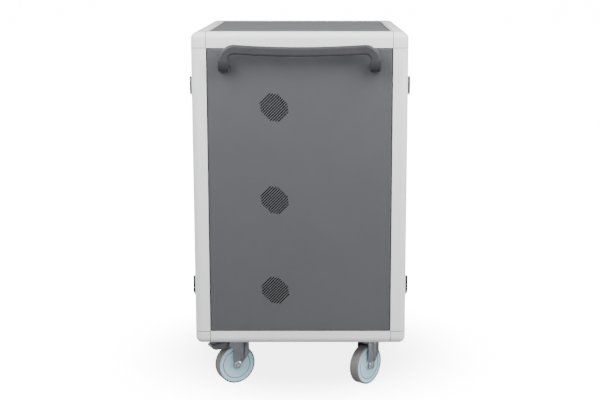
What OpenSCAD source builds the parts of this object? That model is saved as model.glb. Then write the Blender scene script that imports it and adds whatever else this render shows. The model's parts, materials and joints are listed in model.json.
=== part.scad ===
// Laptop charging cart: a light grey rounded frame with dark panels, double doors front and rear,
// three levels of laptop bays, a charger space behind them, side fans, two push handles, four castors.
// X runs across the doors, Y from the front doors to the rear doors, Z up from the floor.
// The origin is on the floor under the middle of the body.

/* [Body] */
// Width over the frame, across the doors
body_w = 780; // [720:10:900]
// Depth over the frame, from front to rear
body_d = 650; // [620:10:760]
// Height of the frame above the castors
body_h = 962; // [940:1:1060]
// Height of a castor, from the floor to the frame
castor_h = 153; // [152:1:175]

/* [Frame] */
// Width of a post and of a rail, seen from outside
post_w = 46; // [42:1:52]
// Height of the top rails
top_rail_h = 47; // [44:1:56]
// Height of the bottom rails
base_rail_h = 40; // [36:1:50]
// Outer corner radius of posts, rails and corner blocks
frame_r = 20; // [12:1:22]
// Wall of the hollow posts and rails
frame_wall = 2.5; // [2:0.5:4]
// Thickness of the fins that the panels seat on
fin_t = 3; // [2:0.5:4]
// Length of the fins that the panels seat on
fin_l = 12; // [8:1:16]
// Width of the lip that borders the top panel
lip_w = 3; // [2:1:16]
// Width of the ledge under the top panel, past the lip
ledge_w = 14; // [10:1:20]
// Length of the spigots that join a corner block to its post and rails
spigot_l = 25; // [15:1:40]

/* [Panels] */
// Sheet thickness of panels, doors, shelves and liners
sheet_t = 1.5; // [1:0.1:2]
// Depth of the folded edges of panels and doors
panel_depth = 20; // [16:1:24]
// How far panels and doors lie back from the frame's face
panel_inset = 1.5; // [1:0.5:3]
// Shadow gap round a panel or door
panel_gap = 2.5; // [2:0.5:4]
// Outer bend radius of folded sheet
bend_r = 3; // [2:0.5:4]
// Width of the inner return on the edges of a door
door_return = 14; // [8:1:20]
// Gap between the two leaves of a pair of doors
door_gap = 3; // [2:0.5:6]

/* [Vents] */
// Distance of the vent column in front of the middle of the side
vent_y = 77; // [40:1:100]
// Height of the middle of a vent above its shelf
vent_rise = 128; // [100:1:150]
// Slots in one vent
slot_count = 13; // [7:2:17]
// Width of a slot
slot_w = 3.2; // [2:0.1:4]
// Distance from slot to slot
slot_pitch = 6.4; // [5.4:0.1:7]
// Length of the long slots in the middle of a vent
slot_long = 73; // [50:1:80]
// Length of the shortest slots at the two ends of a vent
slot_short = 44; // [30:1:48]
// Long slots of one length in the middle of a vent
slot_even = 7; // [1:2:7]

/* [Inside] */
// Bays side by side on one level
bay_count = 8; // [6:1:10]
// Space between the inner liner and the side of the frame
duct_w = 100; // [80:1:130]
// Depth of a laptop bay
bay_depth = 392; // [360:1:400]
// Height of the lowest shelf above the bottom rails
shelf_lift = 3; // [2:1:8]
// Height of a shelf's folded edge
shelf_edge = 18; // [14:1:24]
// Gap between the top of a divider and the next shelf's upper face
divider_gap = 11; // [10:1:40]
// Space left over the upper level, under the top rails
head_room = 23; // [15:1:60]
// Radius of the finger cut-out in the front edge of a divider
scallop_r = 70; // [40:1:90]
// Height of the cable slot in a partition
cable_slot_h = 30; // [20:1:40]
// Depth and height of a power strip
strip_w = 44; // [40:1:54]
// Outer width of a fan
fan_w = 92; // [80:1:95]
// Depth of a fan
fan_depth = 25; // [20:1:32]

/* [Handle] */
// Distance from a post to the end of the handle
handle_in = 40; // [30:1:80]
// Height of the grip's section
grip_h = 28; // [24:1:32]
// Thickness of the grip's section
grip_t = 18; // [14:1:20]
// Outer radius of the bends at the ends of the grip
handle_r = 46; // [40:1:60]
// Distance from the panel to the middle of the grip
handle_out = 42; // [36:1:60]
// Distance from the frame's top down to the top of the grip at its ends
handle_drop = 35; // [30:1:60]
// How far the grip dips in the middle
grip_dip = 6.5; // [2:0.5:10]
// Width of a foot
foot_w = 30; // [30:1:40]
// Outer radius of a foot's curve
foot_r = 31; // [28:1:40]
// Thickness of a foot
foot_t = 19; // [16:1:22]

/* [Doors] */
// Height of a hinge
hinge_h = 54; // [45:1:70]
// Width of a hinge leaf
hinge_leaf_w = 22; // [18:1:24]
// Thickness of a hinge leaf
hinge_leaf_t = 3.5; // [2.5:0.5:4]
// Radius of the hinge knuckle
knuckle_r = 4.3; // [4:0.1:5]
// Height of the lower hinges above the frame's lower edge
hinge_low = 179; // [120:1:240]
// Distance of the upper hinges below the frame's upper edge
hinge_high = 162; // [120:1:240]
// Distance from the edge of the door to the axis of its lock
lock_in = 34; // [30:1:45]

/* [Castors] */
// Diameter of a wheel
wheel_d = 125; // [120:1:130]
// Width of the tread
tread_w = 32; // [28:1:34]
// Thickness of the tread
tread_t = 4.5; // [4:0.5:8]
// Distance of the axle behind the swivel axis
trail = 32; // [24:1:36]
// Distance of the swivel axes from the sides of the frame
castor_in = 100; // [98:1:130]
// Distance of the front swivel axes from the front of the frame
castor_front_in = 144; // [120:1:170]
// Distance of the rear swivel axes from the rear of the frame
castor_rear_in = 99; // [98:1:130]
// Heading of the front right castor
turn_front_right_deg = -64; // [-180:1:180]
// Heading of the rear right castor
turn_rear_right_deg = -40; // [-180:1:180]
// Heading of the front left castor
turn_front_left_deg = -78; // [-180:1:180]
// Heading of the rear left castor
turn_rear_left_deg = -52; // [-180:1:180]

/* [Hidden] */
$fn = 48;

// Overrun of cuts, and small clearances
cut = 1;
seam = 0.3;
run = 0.05;

// Colours
LIGHT = [0.82, 0.83, 0.84];
GRAPHITE = [0.40, 0.41, 0.43];
INNER = [0.60, 0.61, 0.62];
BLACK = [0.13, 0.13, 0.14];
ZINC = [0.62, 0.63, 0.65];
HUB = [0.70, 0.78, 0.82];
TREAD = [0.52, 0.54, 0.54];

// Places in the frame
half_w = body_w / 2;
half_d = body_d / 2;
base_z = castor_h;
top_z = castor_h + body_h;
open_x = half_w - post_w;
open_y = half_d - post_w;
open_z0 = base_z + base_rail_h;
open_z1 = top_z - top_rail_h;
seat_in = panel_inset + panel_depth;
stop_in = seat_in + 2 * seam;
spigot_in = frame_r / 2;

// Panels and doors
side_w = 2 * (open_y - panel_gap);
side_h = open_z1 - open_z0 - 2 * panel_gap;
side_z = (open_z0 + open_z1) / 2;
side_x = half_w - panel_inset;
leaf_w = open_x - panel_gap - door_gap / 2;
leaf_x = (open_x - panel_gap + door_gap / 2) / 2;
door_y = half_d - panel_inset;
tray_t = 2;
tray_edge = 25;

// Levels, vents and fans
LEVELS = [0, 1, 2];
level_h = (open_z1 - open_z0 - shelf_lift - head_room) / len(LEVELS);
shelf_z = [for (i = LEVELS) open_z0 + shelf_lift + i * level_h];
vent_z = [for (z = shelf_z) z + vent_rise];
fan_x = side_x - sheet_t;
fan_wall = 2;
fan_bore_r = fan_w / 2 - fan_wall;
fan_hub_r = 0.22 * fan_w;
fan_shaft_r = 2.5;
blade_count = 7;
blade_t = 1.6;
blade_pitch_deg = 38;
blade_clear = 1.2;

// Inside
liner_x = half_w - duct_w;
liner_z0 = base_z + tray_edge;
liner_z1 = open_z1 + top_rail_h / 4;
shelf_y0 = seam - open_y;
shelf_y1 = open_y - seam;
part_y = shelf_y0 + sheet_t + bay_depth;
part_h = level_h - sheet_t - 2 * seam;
divider_h = level_h - divider_gap;
bay_pitch = 2 * liner_x / bay_count;
divider_y0 = shelf_y0 + 3 * sheet_t;
divider_foot = 12;
divider_r = 24;
notch_l = 30;
notch_lap = 6;
liner_slot_l = 64;
liner_slot_h = 6;
liner_slot_pitch = 14;
liner_slots = 6;
cable_slot_share = 0.86;
cable_slot_top = 22;
strip_share = 0.84;
strip_rise = 120;
socket_r = 17.5;
socket_rim = 2;
socket_raise = 1.5;
socket_sink = 2.5;
pin_r = 2.3;
pin_apart = 19;
pin_deep = 12;
strip_bevel = 4;

// Handle
handle_w = 2 * (open_y - handle_in);
grip_z = top_z - handle_drop - grip_h / 2;
bend_mid = handle_r - grip_h / 2;
bend_c = handle_w / 2 - handle_r - 2 * bend_mid * grip_dip / (handle_w / 2 - handle_r);
dip_r = (bend_c * bend_c + grip_dip * grip_dip) / (2 * grip_dip);
dip_deg = asin(bend_c / dip_r);
leg_y = bend_c + bend_mid * (1 + sin(dip_deg));
leg_z = grip_z - bend_mid * cos(dip_deg);
foot_lap = 3;
foot_z0 = leg_z - foot_lap - foot_r;
foot_x = handle_out + foot_t / 2 - foot_r;
grip_edge = grip_t / 3;
edge_fn = 12;
dip_fn = 240;
grip_lap = 2;
elbow_step = 0.3;
lap_deg = asin(grip_lap / dip_r);
bolt_r = 3;
bolt_head_r = 5.5;
bolt_head_h = 4;
bolt_apart = 14;
bolt_deep = 12;

// Hinges
hinge_x = open_x - panel_gap / 2;
hinge_y = half_d + knuckle_r + seam;
hinge_pin_r = 2;
knuckle_h = hinge_h / 3;
hinge_z = [base_z + hinge_low, top_z - hinge_high];

// Locks
lock_x = door_gap / 2 + lock_in;
lock_z = side_z;
lock_plate_w = 30;
lock_plate_h = 86;
lock_plate_t = 5;
spindle_r = 6;
knob_r = 12;
knob_t = 8;
wing_l = 58;
wing_w = 11;
wing_t = 12;
cam_reach = 26;
cam_l = lock_in + cam_reach;
cam_w = 16;
cam_t = 3;
cam_gap = 2.2;

// Mains gland
gland_in = 79;
gland_rise = 62;
gland_y = open_y - gland_in;
gland_z = open_z0 + gland_rise;
gland_stem_r = 10;
gland_nut_r = 15;
gland_nut_h = 7;
gland_dome_r = 13;
gland_dome_h = 14;
gland_tip_r = 8;

// Castors
plate_l = 104;
plate_w = 84;
plate_t = 3;
plate_r = 8;
hole_x = 40;
hole_y = 30;
race_r = 29;
race_h = 6;
crown_r = 31;
crown_t = 4;
king_r = 6;
king_nut_r = 11;
king_nut_h = 6;
castor_bolt_r = 4;
castor_bolt_head_r = 6.8;
castor_bolt_head_h = 5;
castor_bolt_nut_h = 6.5;
axle_r = 6;
axle_head_r = 9;
axle_head_h = 6;
hub_boss_r = 15;
hub_w = 36;
groove_r = 46;
groove_w = 2;
groove_d = 2.5;
face_sink = 1.5;
shoulder_r = 3;
leg_in = 20;
leg_t = 3;
leg_back = -8;
leg_front = 44;
leg_foot_r = 13;
leg_waist_z = 98;
rib_r = 8;
rib_x = 15;
rib_out = 4;
pedal_x = 52;
pedal_z = 131;
pedal_hub_r = 8;
pedal_pin_r = 3;
ear_r = 9;
pedal_w = 33;
tongue_w = 42;
tread_rib_r = 1.4;
// Arm and tongue of the pedal: shares of pedal_x along, shares of pedal_hub_r above the pin
arm_shares = [[1, 1], [1.6, 1.1], [1.6, -1.2], [1.45, -1.8], [1.25, -1.35], [1, -1]];
tongue_shares = [[1.34, 1], [1.66, 1.1], [2.08, 0.75], [2.25, 0],
                 [2.2, -0.7], [2.02, -1.3], [1.72, -1.3], [1.45, -1.1]];
rib_shares = [[1.72, 1.06], [1.82, 0.98], [1.92, 0.9], [2.02, 0.82]];
wheel_r = wheel_d / 2;
hub_r = wheel_r - tread_t;
crown_z1 = castor_h - plate_t - race_h - seam;
crown_z0 = crown_z1 - crown_t;
castor_x = half_w - castor_in;
castor_y_front = -(half_d - castor_front_in);
castor_y_rear = half_d - castor_rear_in;
// Each castor: side, place along Y and heading
FRONT_LEFT = [-castor_x, castor_y_front, turn_front_left_deg];
FRONT_RIGHT = [castor_x, castor_y_front, turn_front_right_deg];
REAR_LEFT = [-castor_x, castor_y_rear, turn_rear_left_deg];
REAR_RIGHT = [castor_x, castor_y_rear, turn_rear_right_deg];
CASTORS = [FRONT_LEFT, FRONT_RIGHT, REAR_LEFT, REAR_RIGHT];

// Helpers

// A rectangle whose corner at the origin is rounded
module round_corner(w, h, r) {
  difference() {
    square([w, h]);
    difference() {
      square(r);
      translate([r, r]) circle(r);
    }
  }
}

// The four corners of the frame, each with x and y pointing inwards
module at_corner(sx, sy) {
  translate([sx * half_w, sy * half_d, 0])
    mirror([sx > 0 ? 1 : 0, 0, 0])
      mirror([0, sy > 0 ? 1 : 0, 0])
        children();
}

// The outline of a folded sheet seen along one edge, with its two outer bends
module pan_outline(w, depth, r) {
  difference() {
    translate([-w / 2, -depth]) square([w, depth]);
    for (s = [0, 1]) mirror([s, 0]) translate([w / 2 - r, -r]) difference() {
      square(r + cut);
      circle(r);
    }
  }
}

// A slab with four rounded face edges, face up at z = 0
module pan_form(w, h, depth, r) {
  intersection() {
    rotate([90, 0, 0]) translate([0, 0, -h / 2]) linear_extrude(h) pan_outline(w, depth, r);
    rotate([90, 0, 90]) translate([0, 0, -w / 2]) linear_extrude(w) pan_outline(h, depth, r);
  }
}

// A folded pan of sheet, face up at z = 0, with returns of width ret on its inner edges
module pan(w, h, depth, t, ret) {
  difference() {
    pan_form(w, h, depth, bend_r);
    translate([0, 0, -t])
      pan_form(w - 2 * t, h - 2 * t, ret > 0 ? depth - 2 * t : depth, bend_r - t / 2);
    if (ret > 0)
      translate([ret - w / 2, ret - h / 2, -depth - cut])
        cube([w - 2 * ret, h - 2 * ret, depth - t + cut]);
  }
}

// Local z outwards on the right side, on the front and on the rear
module on_side() { translate([side_x, 0, side_z]) rotate([90, 0, 90]) children(); }
module on_front(y, z) { translate([0, -y, z]) rotate([90, 0, 0]) children(); }
module to_left() { mirror([1, 0, 0]) children(); }
module to_rear() { mirror([0, 1, 0]) children(); }
module both_sides() { for (s = [0, 1]) mirror([s, 0, 0]) children(); }

// A plate with two round ends, standing along y, centred
module obround(w, h, t) {
  translate([-w / 2, w / 2 - h / 2, 0]) cube([w, h - w, t]);
  for (s = [-1, 1]) translate([0, s * (h - w) / 2, 0]) cylinder(h = t, r = w / 2);
}

// A rounded plate, centred
module round_plate(w, h, t, r) {
  linear_extrude(t) union() {
    square([w - 2 * r, h], center = true);
    square([w, h - 2 * r], center = true);
    for (x = [-1, 1], y = [-1, 1])
      translate([x * (w / 2 - r), y * (h / 2 - r)]) circle(r);
  }
}

// Frame

// Post in plan, with a fin for the side panel and a stop for the door
module post_profile() {
  difference() {
    round_corner(post_w, post_w, frame_r);
    translate([frame_wall, frame_wall])
      round_corner(post_w - 2 * frame_wall, post_w - 2 * frame_wall, frame_r - frame_wall);
  }
  translate([seat_in, post_w - frame_wall / 2]) square([fin_t, fin_l + frame_wall / 2]);
  translate([post_w - frame_wall / 2, stop_in]) square([fin_l + frame_wall / 2, fin_t]);
}

module post(sx, sy) {
  color(LIGHT)
    at_corner(sx, sy)
      translate([0, 0, open_z0]) linear_extrude(open_z1 - open_z0) post_profile();
}

// Rail in section: x inwards from the outer face, y inwards from the outer edge
module rail_tube(h) {
  difference() {
    round_corner(post_w, h, frame_r);
    translate([frame_wall, frame_wall])
      round_corner(post_w - 2 * frame_wall, h - 2 * frame_wall, frame_r - frame_wall);
  }
}

// A rail of length l with a panel fin set in by in_fin, and the top rails' lip and ledge
module rail(l, h, in_fin, top, cross) {
  lip_l = l - 2 * seam - (cross ? 0 : 2 * lip_w);
  ledge_l = l - 2 * seam - (cross ? 0 : 2 * (lip_w + ledge_w));
  grip = frame_wall / 2;
  union() {
    translate([0, 0, -l / 2]) linear_extrude(l) rail_tube(h);
    translate([in_fin, h - grip, -l / 2 + fin_l]) cube([fin_t, fin_l + grip, l - 2 * fin_l]);
    if (top) translate([post_w - grip, 0, -lip_l / 2]) cube([lip_w + grip, fin_t, lip_l]);
    if (top)
      translate([post_w - grip, seat_in, -ledge_l / 2])
        cube([lip_w + ledge_w + grip, fin_t, ledge_l]);
  }
}

// Places a rail: local x inwards, local y away from the outer edge, local z along the rail
module rail_set(h, top) {
  for (s = [0, 1]) mirror([s, 0, 0]) translate([-half_w, 0, 0])
    rotate([90, 0, 0]) rail(2 * open_y, h, seat_in, top, false);
  for (s = [0, 1]) mirror([0, s, 0]) translate([0, -half_d, 0])
    rotate([90, 0, 90]) rail(2 * open_x, h, stop_in, top, true);
}

module bottom_rails() { color(LIGHT) translate([0, 0, base_z]) rail_set(base_rail_h, false); }
module top_rails() {
  color(LIGHT) translate([0, 0, top_z]) mirror([0, 0, 1]) rail_set(top_rail_h, true);
}

// Three-way block with one round vertex at the origin and a spigot into each neighbour
module corner_block(h) {
  r = frame_r;
  fit = frame_wall + seam;
  union() {
    translate([r, r, 0]) cube([post_w - r, post_w - r, h]);
    translate([r, 0, r]) cube([post_w - r, post_w, h - r]);
    translate([0, r, r]) cube([post_w, post_w - r, h - r]);
    translate([r, r, r]) sphere(r);
    translate([r, r, r]) cylinder(h = h - r, r = r);
    translate([r, r, r]) rotate([0, 90, 0]) cylinder(h = post_w - r, r = r);
    translate([r, r, r]) rotate([-90, 0, 0]) cylinder(h = post_w - r, r = r);
    translate([spigot_in, spigot_in, h - cut])
      cube([post_w - spigot_in - fit, post_w - spigot_in - fit, spigot_l + cut]);
    translate([post_w - cut, spigot_in, spigot_in])
      cube([spigot_l + cut, post_w - spigot_in - fit, h - spigot_in - fit]);
    translate([spigot_in, post_w - cut, spigot_in])
      cube([post_w - spigot_in - fit, spigot_l + cut, h - spigot_in - fit]);
  }
}

module corner_blocks(h) { for (x = [-1, 1], y = [-1, 1]) at_corner(x, y) corner_block(h); }
module bottom_corner_blocks() { color(LIGHT) translate([0, 0, base_z]) corner_blocks(base_rail_h); }
module top_corner_blocks() {
  color(LIGHT) translate([0, 0, top_z]) mirror([0, 0, 1]) corner_blocks(top_rail_h);
}

// Panels

module top_panel() {
  color(GRAPHITE)
    translate([0, 0, top_z - panel_inset])
      pan(2 * (open_x - lip_w - panel_gap), 2 * (open_y - lip_w - panel_gap),
          panel_depth, sheet_t, 0);
}

module base_tray() {
  color(INNER) difference() {
    translate([0, 0, base_z]) mirror([0, 0, 1])
      pan(2 * open_x, 2 * open_y, tray_edge, tray_t, 0);
    for (c = CASTORS) translate([c[0], c[1], base_z - cut]) plate_holes(tray_t + 2 * cut);
  }
}

// Length of slot k, counted from the middle of the vent
function slot_l(k) =
  let (flat = (slot_even - 1) / 2, last = (slot_count - 1) / 2)
  slot_long - (slot_long - slot_short) * max(0, k - flat) / (last - flat);

// One octagonal vent of slanting slots
module vent_slots() {
  last = (slot_count - 1) / 2;
  rotate([0, 0, 45]) for (k = [-last : last])
    translate([0, k * slot_pitch]) square([slot_l(abs(k)), slot_w], center = true);
}

module side_panel() {
  difference() {
    on_side() pan(side_w, side_h, panel_depth, sheet_t, 0);
    on_side() for (z = vent_z)
      translate([-vent_y, z - side_z, -sheet_t - cut])
        linear_extrude(sheet_t + 2 * cut) vent_slots();
    at_handle_bolts() translate([0, 0, -cut]) cylinder(h = sheet_t + 2 * cut, r = bolt_r + seam);
  }
}

module side_panel_right() { color(GRAPHITE) side_panel(); }

module side_panel_left() {
  color(GRAPHITE) difference() {
    to_left() side_panel();
    to_left() translate([side_x - sheet_t - cut, gland_y, gland_z]) rotate([0, 90, 0])
      cylinder(h = sheet_t + 2 * cut, r = gland_stem_r + seam);
  }
}

// Inner liner: a web with outward flanges against the posts, and slots towards the side duct
module liner() {
  flange_w = half_w - seat_in - fin_t - seam - liner_x;
  color(INNER) difference() {
    union() {
      translate([liner_x, -open_y, liner_z0]) cube([sheet_t, 2 * open_y, liner_z1 - liner_z0]);
      for (s = [0, 1]) mirror([0, s, 0]) translate([liner_x, -open_y, open_z0 + seam])
        cube([flange_w, sheet_t, open_z1 - open_z0 - 2 * seam]);
    }
    for (z = vent_z, k = [0 : liner_slots - 1])
      translate([liner_x - cut, -vent_y - liner_slot_l / 2,
                 z + (k - (liner_slots - 1) / 2) * liner_slot_pitch - liner_slot_h / 2])
        cube([sheet_t + 2 * cut, liner_slot_l, liner_slot_h]);
  }
}

module liner_right() { liner(); }
module liner_left() { to_left() liner(); }

// Shelf: a sheet with its four edges folded down, from liner to liner
module shelf(i) {
  color(INNER) translate([0, (shelf_y0 + shelf_y1) / 2, shelf_z[i]])
    pan(2 * liner_x, shelf_y1 - shelf_y0, shelf_edge, sheet_t, 0);
}

// Divider in side view, from its lower front corner: finger cut-out, round corner and cable notch
module divider_outline() {
  l = part_y - divider_y0;
  notch_z = part_h - cable_slot_top - cable_slot_h - notch_lap;
  difference() {
    square([l, divider_h]);
    translate([l - notch_l, notch_z]) square([notch_l + cut, divider_h]);
    translate([-scallop_r / 2, divider_h / 2]) circle(scallop_r);
    translate([0, divider_h - divider_r]) difference() {
      translate([-cut, 0]) square([divider_r + cut, divider_r + cut]);
      translate([divider_r, 0]) circle(divider_r);
    }
  }
}

module dividers(i) {
  color(BLACK) for (k = [1 : bay_count - 1])
    translate([k * bay_pitch - liner_x - sheet_t / 2, divider_y0, shelf_z[i]]) {
      rotate([90, 0, 90]) linear_extrude(sheet_t) divider_outline();
      translate([0, divider_r, 0])
        cube([divider_foot, part_y - divider_y0 - divider_r, sheet_t]);
    }
}

// Partition of one level, with a cable slot near its upper edge
module partitions() {
  slot_x = cable_slot_share * liner_x;
  end_x = liner_x - bend_r - seam;
  color(INNER) for (z = shelf_z) difference() {
    translate([-end_x, part_y, z]) cube([2 * end_x, sheet_t, part_h]);
    translate([-slot_x, part_y - cut, z + part_h - cable_slot_top - cable_slot_h])
      cube([2 * slot_x, sheet_t + 2 * cut, cable_slot_h]);
  }
}

// Power strip: a bevelled bar with one outlet for each bay, pins shuttered behind a shallow face
module power_strip(i) {
  w = strip_share * 2 * liner_x;
  color(BLACK) translate([0, part_y + sheet_t, shelf_z[i] + strip_rise]) difference() {
    union() {
      rotate([90, 0, 90]) translate([0, 0, -w / 2]) linear_extrude(w)
        polygon([[0, 0], [strip_w - strip_bevel, 0], [strip_w, strip_bevel],
                 [strip_w, strip_w - strip_bevel], [strip_w - strip_bevel, strip_w], [0, strip_w]]);
      outlets(w) cylinder(h = strip_w / 2 + socket_raise, r = socket_r + socket_rim);
    }
    outlets(w) translate([0, 0, strip_w / 2 + socket_raise - socket_sink])
      cylinder(h = socket_sink + cut, r = socket_r);
    outlets(w) for (s = [-1, 1])
      translate([s * pin_apart / 2, 0, strip_w / 2 - pin_deep])
        cylinder(h = pin_deep + cut, r = pin_r);
  }
}

module outlets(w) {
  for (k = [0 : bay_count - 1])
    translate([(k + 1 / 2) * w / bay_count - w / 2, strip_w / 2, strip_w / 2])
      rotate([-90, 0, 0]) children();
}

// Fans

// Fan frame seen along its axis
module fan_housing() {
  strut_w = fan_wall * 2;
  difference() {
    union() {
      difference() {
        translate([-fan_w / 2, -fan_w / 2, -fan_depth]) cube([fan_w, fan_w, fan_depth]);
        translate([0, 0, -fan_depth - cut]) cylinder(h = fan_depth + 2 * cut, r = fan_bore_r);
      }
      translate([0, 0, -fan_depth]) cylinder(h = fan_wall, r = fan_hub_r);
      for (a = [45 : 90 : 315]) rotate([0, 0, a])
        translate([0, -strut_w / 2, -fan_depth]) cube([fan_bore_r + cut, strut_w, fan_wall]);
      translate([0, 0, -fan_depth]) cylinder(h = fan_depth - fan_wall, r = fan_shaft_r);
    }
    for (x = [-1, 1], y = [-1, 1])
      translate([x * (fan_w / 2 - 3 * fan_wall), y * (fan_w / 2 - 3 * fan_wall), -fan_depth - cut])
        cylinder(h = fan_depth + 2 * cut, r = fan_wall);
  }
}

// Rotor: a cap with slanting blades, running on the shaft
module fan_rotor() {
  rotor_h = fan_depth - 3 * fan_wall;
  tip_r = fan_bore_r - blade_clear;
  translate([0, 0, -fan_depth + 2 * fan_wall]) difference() {
    union() {
      cylinder(h = rotor_h, r = fan_hub_r);
      intersection() {
        for (k = [0 : blade_count - 1]) rotate([0, 0, k * 360 / blade_count])
          translate([fan_hub_r / 2, 0, rotor_h / 2]) rotate([blade_pitch_deg, 0, 0])
            translate([0, -rotor_h, -blade_t / 2]) cube([tip_r, 2 * rotor_h, blade_t]);
        cylinder(h = rotor_h, r = tip_r);
      }
    }
    translate([0, 0, -cut]) cylinder(h = rotor_h + 2 * cut, r = fan_shaft_r + run);
  }
}

module on_fan(i) { translate([fan_x, -vent_y, vent_z[i]]) rotate([90, 0, 90]) children(); }
module fan_housings() { color(BLACK) for (i = LEVELS) on_fan(i) fan_housing(); }
module fan_rotor_at(i) { color(BLACK) on_fan(i) fan_rotor(); }

// Handle

// Section of the bar, grown by grow all round: x across its height, y across its thickness
module grip_section(grow) {
  union() {
    square([grip_h + 2 * grow - 2 * grip_edge, grip_t + 2 * grow], center = true);
    square([grip_h + 2 * grow, grip_t + 2 * grow - 2 * grip_edge], center = true);
    for (x = [-1, 1], y = [-1, 1])
      translate([x * (grip_h / 2 + grow - grip_edge), y * (grip_t / 2 + grow - grip_edge)])
        circle(grip_edge, $fn = edge_fn);
  }
}

// Foot in side view: x away from the panel, y up from its lower edge
module foot_outline() {
  inner_r = foot_r - foot_t;
  union() {
    square([foot_x, foot_t]);
    translate([foot_x + inner_r, foot_r]) square([foot_t, 2 * foot_lap]);
    translate([foot_x, foot_r]) difference() {
      circle(foot_r);
      circle(inner_r);
      translate([-2 * foot_r, -2 * foot_r]) square([2 * foot_r, 4 * foot_r]);
      translate([-2 * foot_r, 0]) square([4 * foot_r, 2 * foot_r]);
    }
  }
}

// The grip, an arc that dips in the middle and reaches a little into both elbows
module grip_bar() {
  arc_deg = dip_deg + lap_deg;
  translate([handle_out, 0, grip_z]) rotate([90, 0, 90]) translate([0, dip_r - grip_dip])
    rotate([0, 0, -90 - arc_deg]) rotate_extrude(angle = 2 * arc_deg, $fn = dip_fn)
      translate([dip_r, 0]) grip_section(0);
}

// Elbow and foot at one end; the elbow is a little thicker than the grip
module handle_end() {
  translate([handle_out, leg_y - bend_mid, leg_z]) rotate([90, 0, 90])
    rotate_extrude(angle = 90 + dip_deg) translate([bend_mid, 0]) grip_section(elbow_step);
  translate([0, leg_y + foot_w / 2, foot_z0]) rotate([90, 0, 0])
    linear_extrude(foot_w) foot_outline();
}

// The four places where a bolt holds the handle, x outwards through the panel
module at_handle_bolts() {
  for (s = [-1, 1], y = [-1, 1])
    translate([side_x - sheet_t, s * leg_y + y * bolt_apart / 2, foot_z0 + foot_t / 2])
      rotate([0, 90, 0]) children();
}

module push_handles() {
  color(BLACK) both_sides() difference() {
    translate([side_x, 0, 0]) {
      grip_bar();
      for (s = [0, 1]) mirror([0, s, 0]) handle_end();
    }
    at_handle_bolts() cylinder(h = sheet_t + bolt_deep, r = bolt_r + run);
  }
}

module handle_bolts() {
  color(ZINC) both_sides() at_handle_bolts() {
    cylinder(h = sheet_t + bolt_deep - cut, r = bolt_r);
    translate([0, 0, -bolt_head_h]) cylinder(h = bolt_head_h, r = bolt_head_r, $fn = 6);
  }
}

// Mains gland with a closed membrane
module mains_gland() {
  color(BLACK) to_left() translate([side_x, gland_y, gland_z]) rotate([0, 90, 0]) {
    translate([0, 0, -sheet_t - gland_nut_h])
      cylinder(h = gland_nut_h, r = gland_nut_r, $fn = 6);
    translate([0, 0, -sheet_t - gland_nut_h - fin_t])
      cylinder(h = sheet_t + gland_nut_h + 2 * fin_t, r = gland_stem_r);
    cylinder(h = gland_nut_h, r = gland_nut_r, $fn = 6);
    rotate_extrude() polygon([[0, 0], [gland_dome_r, 0], [gland_dome_r, gland_dome_h],
                              [gland_tip_r, gland_dome_h + gland_nut_h],
                              [0, gland_dome_h + gland_nut_h]]);
  }
}

// Doors

// Right leaf of the front doors; keyed cuts the hole for the lock's spindle
module door_leaf(keyed) {
  color(GRAPHITE) difference() {
    on_front(door_y, side_z) translate([leaf_x, 0, 0])
      pan(leaf_w, side_h, panel_depth, sheet_t, door_return);
    if (keyed) on_front(door_y, lock_z) translate([lock_x, 0, -panel_depth - cut])
      cylinder(h = panel_depth + 2 * cut, r = spindle_r + 4 * run);
  }
}

// Fixed leaf of the hinge on the front right post, with the outer knuckles and the pin
module hinge_fixed() {
  difference() {
    union() {
      translate([hinge_x, -half_d - hinge_leaf_t, -hinge_h / 2])
        cube([hinge_leaf_w, hinge_leaf_t, hinge_h]);
      translate([hinge_x, -hinge_y, -hinge_h / 2]) cylinder(h = hinge_h, r = knuckle_r);
    }
    translate([hinge_x - 2 * knuckle_r, -hinge_y - 2 * knuckle_r, -knuckle_h / 2])
      cube([3 * knuckle_r + seam, 4 * knuckle_r, knuckle_h]);
  }
  translate([hinge_x, -hinge_y, -hinge_h / 2]) cylinder(h = hinge_h, r = hinge_pin_r);
}

// Moving leaf of the same hinge, with the middle knuckle
module hinge_moving() {
  tongue_h = knuckle_h - 2 * seam;
  back = knuckle_r + seam;
  difference() {
    union() {
      translate([hinge_x - hinge_leaf_w, -door_y - hinge_leaf_t, -hinge_h / 2])
        cube([hinge_leaf_w - back, hinge_leaf_t, hinge_h]);
      translate([hinge_x - hinge_leaf_w, -door_y - hinge_leaf_t, -tongue_h / 2])
        cube([hinge_leaf_w, hinge_leaf_t, tongue_h]);
      translate([hinge_x, -hinge_y, -tongue_h / 2]) cylinder(h = tongue_h, r = knuckle_r);
    }
    translate([hinge_x, -hinge_y, -hinge_h / 2])
      cylinder(h = hinge_h, r = hinge_pin_r + run);
  }
}

module hinge_post_leaves() {
  color(BLACK) for (x = [0, 1], y = [0, 1], z = hinge_z)
    mirror([x, 0, 0]) mirror([0, y, 0]) translate([0, 0, z]) hinge_fixed();
}

module hinge_leaves() { color(BLACK) for (z = hinge_z) translate([0, 0, z]) hinge_moving(); }

// Lock plate on the front right leaf
module lock_plate() {
  color(BLACK) on_front(door_y, lock_z) translate([lock_x, 0, 0]) difference() {
    obround(lock_plate_w, lock_plate_h, lock_plate_t);
    translate([0, 0, -cut]) cylinder(h = lock_plate_t + 2 * cut, r = spindle_r + 4 * run);
  }
}

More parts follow.
